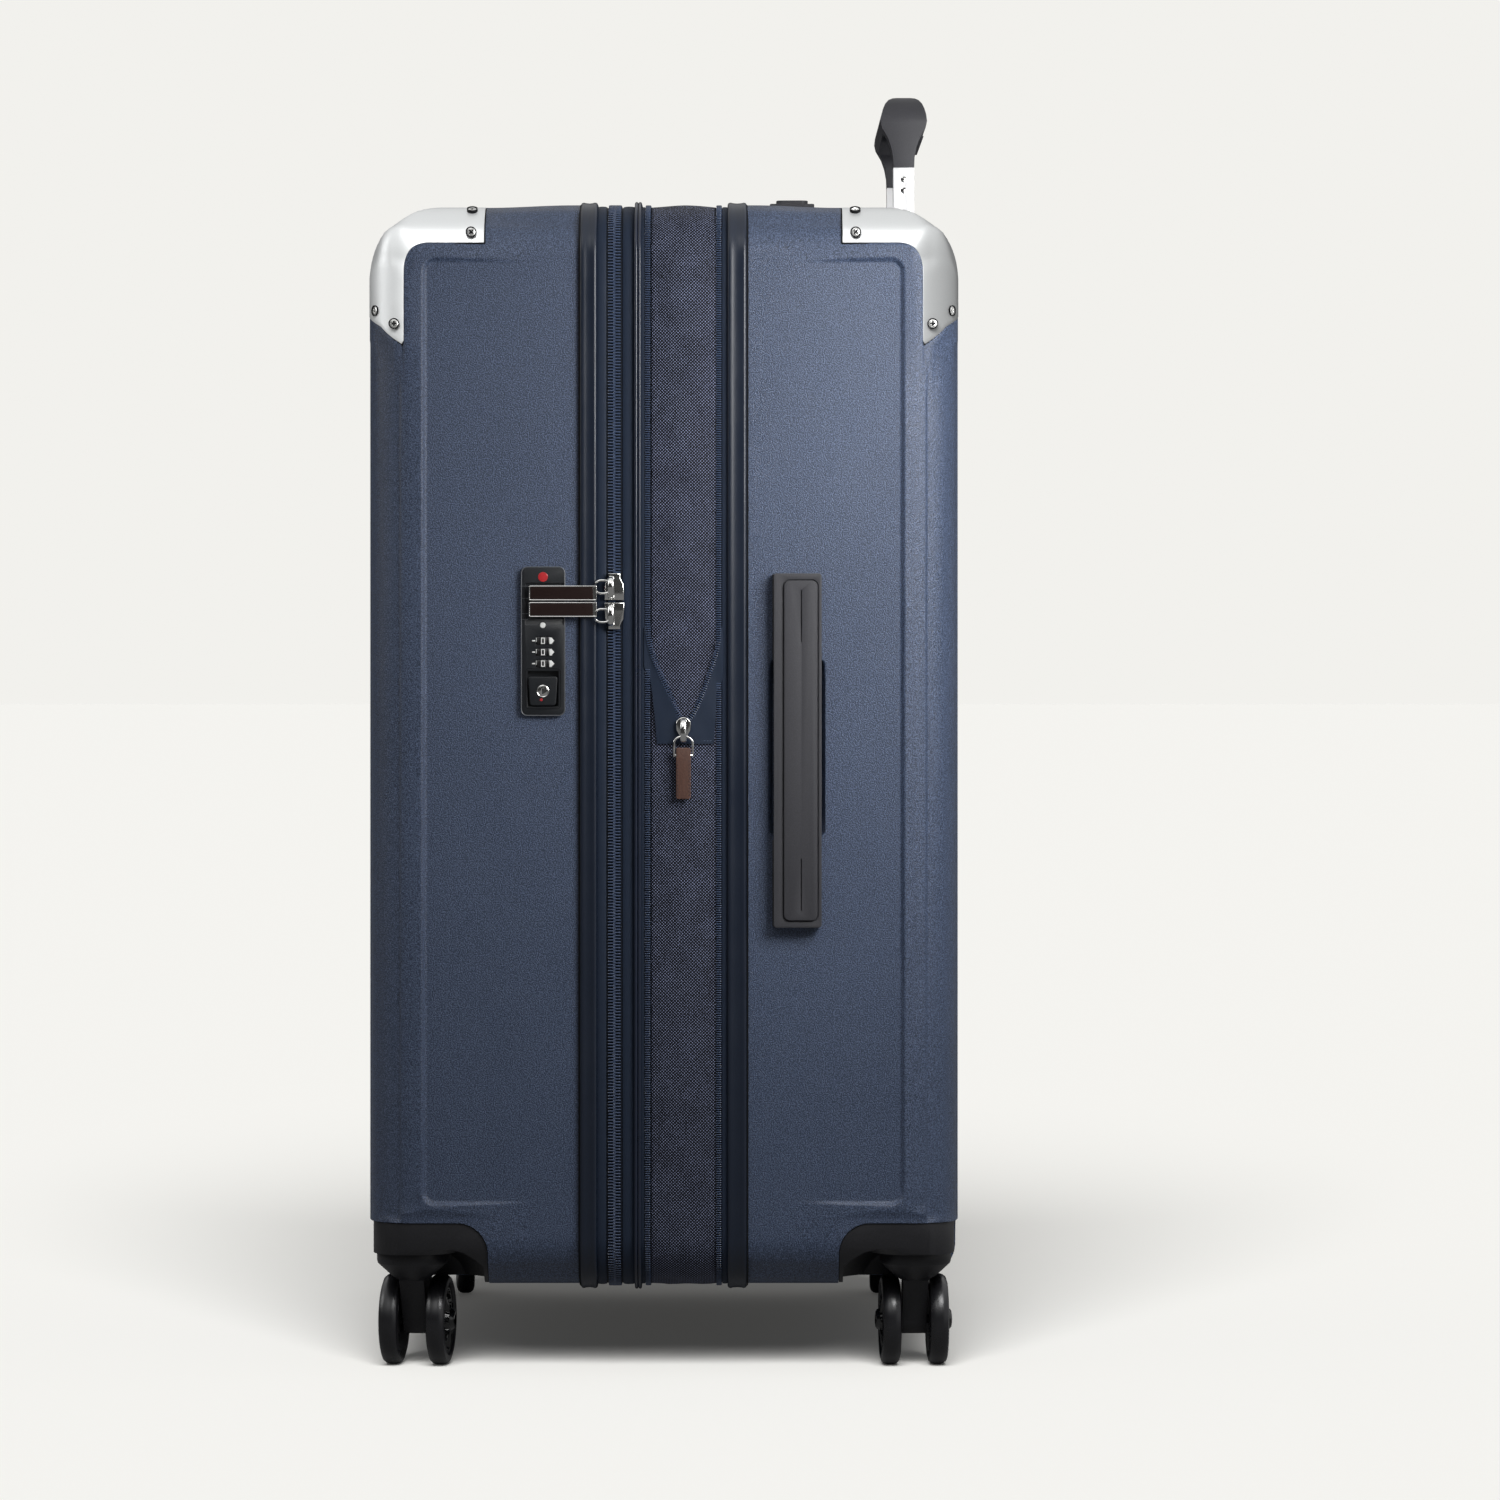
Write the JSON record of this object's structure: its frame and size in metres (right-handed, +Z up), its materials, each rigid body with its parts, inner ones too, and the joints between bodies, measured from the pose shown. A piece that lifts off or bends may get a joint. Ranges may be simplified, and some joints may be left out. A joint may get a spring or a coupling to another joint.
{
  "type": "expandable hard-shell spinner suitcase",
  "caption": "Upright navy hard-shell travel case with a zip-out gusset, pull handle, carry handles, combination lock, metal corner guards and swivelling double casters",
  "frame": {"origin": "centre of the bounding box on the floor under the casters", "axes": "+Z up, front shell towards -Y, pull handle towards +Y, lock and side handle towards +X, hinge towards -X"},
  "size_m": [0.5349, 0.388, 0.8497],
  "materials": {
    "shell_navy": "fine-grained satin",
    "trim_navy": "smooth satin",
    "zip_tape": "woven",
    "mesh_fabric": "coarse woven",
    "lining_fabric": "woven",
    "strap_webbing": "woven",
    "black_plastic": "matte",
    "lock_black": "satin",
    "aluminium": "satin anodised",
    "guard_silver": "satin",
    "steel": "plain",
    "chrome": "polished",
    "pull_leather": "smooth",
    "grip_rubber": "matte",
    "wheel_black": "satin"
  },
  "bodies": {
    "back_case": {"back_shell": "shell_navy", "back_rim": "trim_navy", "back_zip_tape": "zip_tape", "gusset": "mesh_fabric", "back_lining": "lining_fabric", "tube_cover": "lining_fabric", "handle_tray": "black_plastic", "outer_tubes": "aluminium", "tube_foot": "black_plastic", "side_handle_base": "black_plastic", "top_handle_base": "black_plastic", "back_guards": "guard_silver", "back_guard_screws": "chrome", "back_housing_left": "black_plastic", "back_housing_right": "black_plastic", "back_straps": "strap_webbing", "strap_buckle": "black_plastic"},
    "side_handle_grip": {"side_handle_grip": "grip_rubber"},
    "top_handle_grip": {"top_handle_grip": "grip_rubber"},
    "pull_handle": {"inner_tubes": "aluminium", "handle_grip": "grip_rubber", "grip_screws": "steel", "release_rods": "steel"},
    "handle_button": {"handle_button": "grip_rubber"},
    "mid_frame": {"mid_tape": "zip_tape", "mid_piping": "trim_navy", "hinge_web": "zip_tape"},
    "front_case": {"front_shell": "shell_navy", "front_rim": "trim_navy", "front_zip_tape": "zip_tape", "front_lining": "lining_fabric", "front_guards": "guard_silver", "front_guard_screws": "chrome", "front_housing_left": "black_plastic", "front_housing_right": "black_plastic", "lock_body": "lock_black"},
    "divider_page": {"divider_page": "lining_fabric"},
    "lock_dial_1": {"lock_dial_1": "lock_black"},
    "lock_dial_2": {"lock_dial_2": "lock_black"},
    "lock_dial_3": {"lock_dial_3": "lock_black"},
    "lock_button": {"lock_button": "lock_black"},
    "key_cylinder": {"key_cylinder": "chrome"},
    "slider_upper": {"slider_upper": "chrome"},
    "pull_upper": {"pull_upper": "chrome"},
    "slider_lower": {"slider_lower": "chrome"},
    "pull_lower": {"pull_lower": "chrome"},
    "expansion_slider": {"expansion_slider": "chrome"},
    "expansion_pull": {"expansion_pull": "pull_leather"},
    "caster_fl": {"caster_fl_fork": "black_plastic"},
    "wheel_fl_a": {"caster_fl_wheel_a": "wheel_black"},
    "wheel_fl_b": {"caster_fl_wheel_b": "wheel_black"},
    "caster_fr": {"caster_fr_fork": "black_plastic"},
    "wheel_fr_a": {"caster_fr_wheel_a": "wheel_black"},
    "wheel_fr_b": {"caster_fr_wheel_b": "wheel_black"},
    "caster_bl": {"caster_bl_fork": "black_plastic"},
    "wheel_bl_a": {"caster_bl_wheel_a": "wheel_black"},
    "wheel_bl_b": {"caster_bl_wheel_b": "wheel_black"},
    "caster_br": {"caster_br_fork": "black_plastic"},
    "wheel_br_a": {"caster_br_wheel_a": "wheel_black"},
    "wheel_br_b": {"caster_br_wheel_b": "wheel_black"}
  },
  "joints": [
    {"name": "expansion_slide", "type": "slide", "parent": "back_case", "child": "mid_frame", "axis": [0, 1, 0], "range_m": [0, 0.042], "deforming": ["gusset"]},
    {"name": "lid_hinge", "type": "hinge", "parent": "mid_frame", "child": "front_case", "pos_m": [-0.256, -0.037, 0.411], "axis": [0, 0, -1], "range_deg": [0, 180], "deforming": ["hinge_web"]},
    {"name": "divider_hinge", "type": "hinge", "parent": "front_case", "child": "divider_page", "pos_m": [-0.256, -0.037, 0.411], "axis": [0, 0, -1], "range_deg": [-90, 0]},
    {"name": "handle_slide", "type": "slide", "parent": "back_case", "child": "pull_handle", "axis": [0, 0, 1], "range_m": [-0.08, 0.231]},
    {"name": "handle_button_press", "type": "slide", "parent": "pull_handle", "child": "handle_button", "axis": [0, 0, -1], "range_m": [0, 0.003], "stiffness_N_per_m": 500, "springref_m": -0.002},
    {"name": "side_handle_lift", "type": "slide", "parent": "back_case", "child": "side_handle_grip", "axis": [1, 0, 0], "range_m": [0, 0.01], "stiffness_N_per_m": 200, "springref_m": -0.008},
    {"name": "top_handle_lift", "type": "slide", "parent": "back_case", "child": "top_handle_grip", "axis": [0, 0, 1], "range_m": [0, 0.01], "stiffness_N_per_m": 200, "springref_m": -0.008},
    {"name": "dial_1_turn", "type": "hinge", "parent": "front_case", "child": "lock_dial_1", "pos_m": [0.2467, -0.0788, 0.4802], "axis": [0, 0, 1], "continuous": true},
    {"name": "dial_2_turn", "type": "hinge", "parent": "front_case", "child": "lock_dial_2", "pos_m": [0.2467, -0.0788, 0.4727], "axis": [0, 0, 1], "continuous": true},
    {"name": "dial_3_turn", "type": "hinge", "parent": "front_case", "child": "lock_dial_3", "pos_m": [0.2467, -0.0788, 0.4652], "axis": [0, 0, 1], "continuous": true},
    {"name": "lock_button_slide", "type": "slide", "parent": "front_case", "child": "lock_button", "axis": [0, 0, 1], "range_m": [0, 0.003], "stiffness_N_per_m": 400, "springref_m": -0.002},
    {"name": "key_turn", "type": "hinge", "parent": "lock_button", "child": "key_cylinder", "pos_m": [0.2545, -0.0788, 0.4472], "axis": [1, 0, 0], "range_deg": [0, 90]},
    {"name": "slider_upper_run", "type": "slide", "parent": "front_case", "child": "slider_upper", "axis": [0, 0, 1], "range_m": [0, 0.2]},
    {"name": "slider_lower_run", "type": "slide", "parent": "front_case", "child": "slider_lower", "axis": [0, 0, -1], "range_m": [0, 0.35]},
    {"name": "pull_upper_swing", "type": "hinge", "parent": "slider_upper", "child": "pull_upper", "pos_m": [0.2581, -0.0342, 0.5154], "axis": [0, 0, 1], "range_deg": [0, 165]},
    {"name": "pull_lower_swing", "type": "hinge", "parent": "slider_lower", "child": "pull_lower", "pos_m": [0.2581, -0.0342, 0.4966], "axis": [0, 0, 1], "range_deg": [0, 165]},
    {"name": "expansion_slider_follow", "type": "slide", "parent": "back_case", "child": "expansion_slider", "axis": [0, 1, 0], "range_m": [0, 0.021]},
    {"name": "expansion_pull_swing", "type": "hinge", "parent": "expansion_slider", "child": "expansion_pull", "pos_m": [0.2587, 0.01325, 0.4177], "axis": [0, -1, 0], "range_deg": [0, 150]},
    {"name": "caster_fl_swivel", "type": "hinge", "parent": "front_case", "child": "caster_fl", "pos_m": [-0.22, -0.166, 0.085], "axis": [0, 0, 1], "continuous": true},
    {"name": "wheel_fl_a_spin", "type": "hinge", "parent": "caster_fl", "child": "wheel_fl_a", "pos_m": [-0.23886, -0.18306, 0.03], "axis": [0.0698, -0.9976, 0], "continuous": true},
    {"name": "wheel_fl_b_spin", "type": "hinge", "parent": "caster_fl", "child": "wheel_fl_b", "pos_m": [-0.24105, -0.15173, 0.03], "axis": [0.0698, -0.9976, 0], "continuous": true},
    {"name": "caster_fr_swivel", "type": "hinge", "parent": "front_case", "child": "caster_fr", "pos_m": [0.22, -0.166, 0.085], "axis": [0, 0, 1], "continuous": true},
    {"name": "wheel_fr_a_spin", "type": "hinge", "parent": "caster_fr", "child": "wheel_fr_a", "pos_m": [0.19835, -0.17933, 0.03], "axis": [-0.1132, -0.9936, 0], "continuous": true},
    {"name": "wheel_fr_b_spin", "type": "hinge", "parent": "caster_fr", "child": "wheel_fr_b", "pos_m": [0.20191, -0.14814, 0.03], "axis": [-0.1132, -0.9936, 0], "continuous": true},
    {"name": "caster_bl_swivel", "type": "hinge", "parent": "back_case", "child": "caster_bl", "pos_m": [-0.22, 0.166, 0.085], "axis": [0, 0, 1], "continuous": true},
    {"name": "wheel_bl_a_spin", "type": "hinge", "parent": "caster_bl", "child": "wheel_bl_a", "pos_m": [-0.24054, 0.15101, 0.03], "axis": [-0.0349, -0.9994, 0], "continuous": true},
    {"name": "wheel_bl_b_spin", "type": "hinge", "parent": "caster_bl", "child": "wheel_bl_b", "pos_m": [-0.23944, 0.18239, 0.03], "axis": [-0.0349, -0.9994, 0], "continuous": true},
    {"name": "caster_br_swivel", "type": "hinge", "parent": "back_case", "child": "caster_br", "pos_m": [0.22, 0.166, 0.085], "axis": [0, 0, 1], "continuous": true},
    {"name": "wheel_br_a_spin", "type": "hinge", "parent": "caster_br", "child": "wheel_br_a", "pos_m": [0.20062, 0.14954, 0.03], "axis": [0.0384, -0.9993, 0], "continuous": true},
    {"name": "wheel_br_b_spin", "type": "hinge", "parent": "caster_br", "child": "wheel_br_b", "pos_m": [0.19941, 0.18092, 0.03], "axis": [0.0384, -0.9993, 0], "continuous": true}
  ],
  "couplings": [
    {"joint": "divider_hinge", "follows": "lid_hinge", "ratio": -0.5},
    {"joint": "expansion_slider_follow", "follows": "expansion_slide", "ratio": 0.5}
  ]
}
